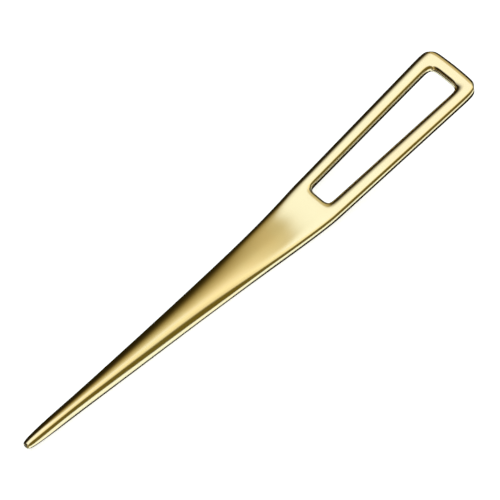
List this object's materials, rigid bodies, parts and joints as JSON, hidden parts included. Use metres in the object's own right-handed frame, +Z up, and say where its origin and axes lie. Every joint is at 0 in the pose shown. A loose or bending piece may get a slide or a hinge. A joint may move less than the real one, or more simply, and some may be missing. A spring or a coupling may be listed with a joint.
{
  "type": "letter opener",
  "caption": "Blunt, needle-like brass letter opener: a thick oval blade that tapers to a rounded tip, bends up and widens into a flat handle with a long slot.",
  "frame": {"origin": "middle of the overall length and width, on the surface that the opener rests on", "axes": "+X from the tip towards the handle, +Z up, out of the upper face; Y across the width"},
  "size_m": [0.1988, 0.0226, 0.0206],
  "materials": {
    "polished_brass": "polished"
  },
  "bodies": {
    "root": {"opener_body": "polished_brass"}
  },
  "joints": []
}
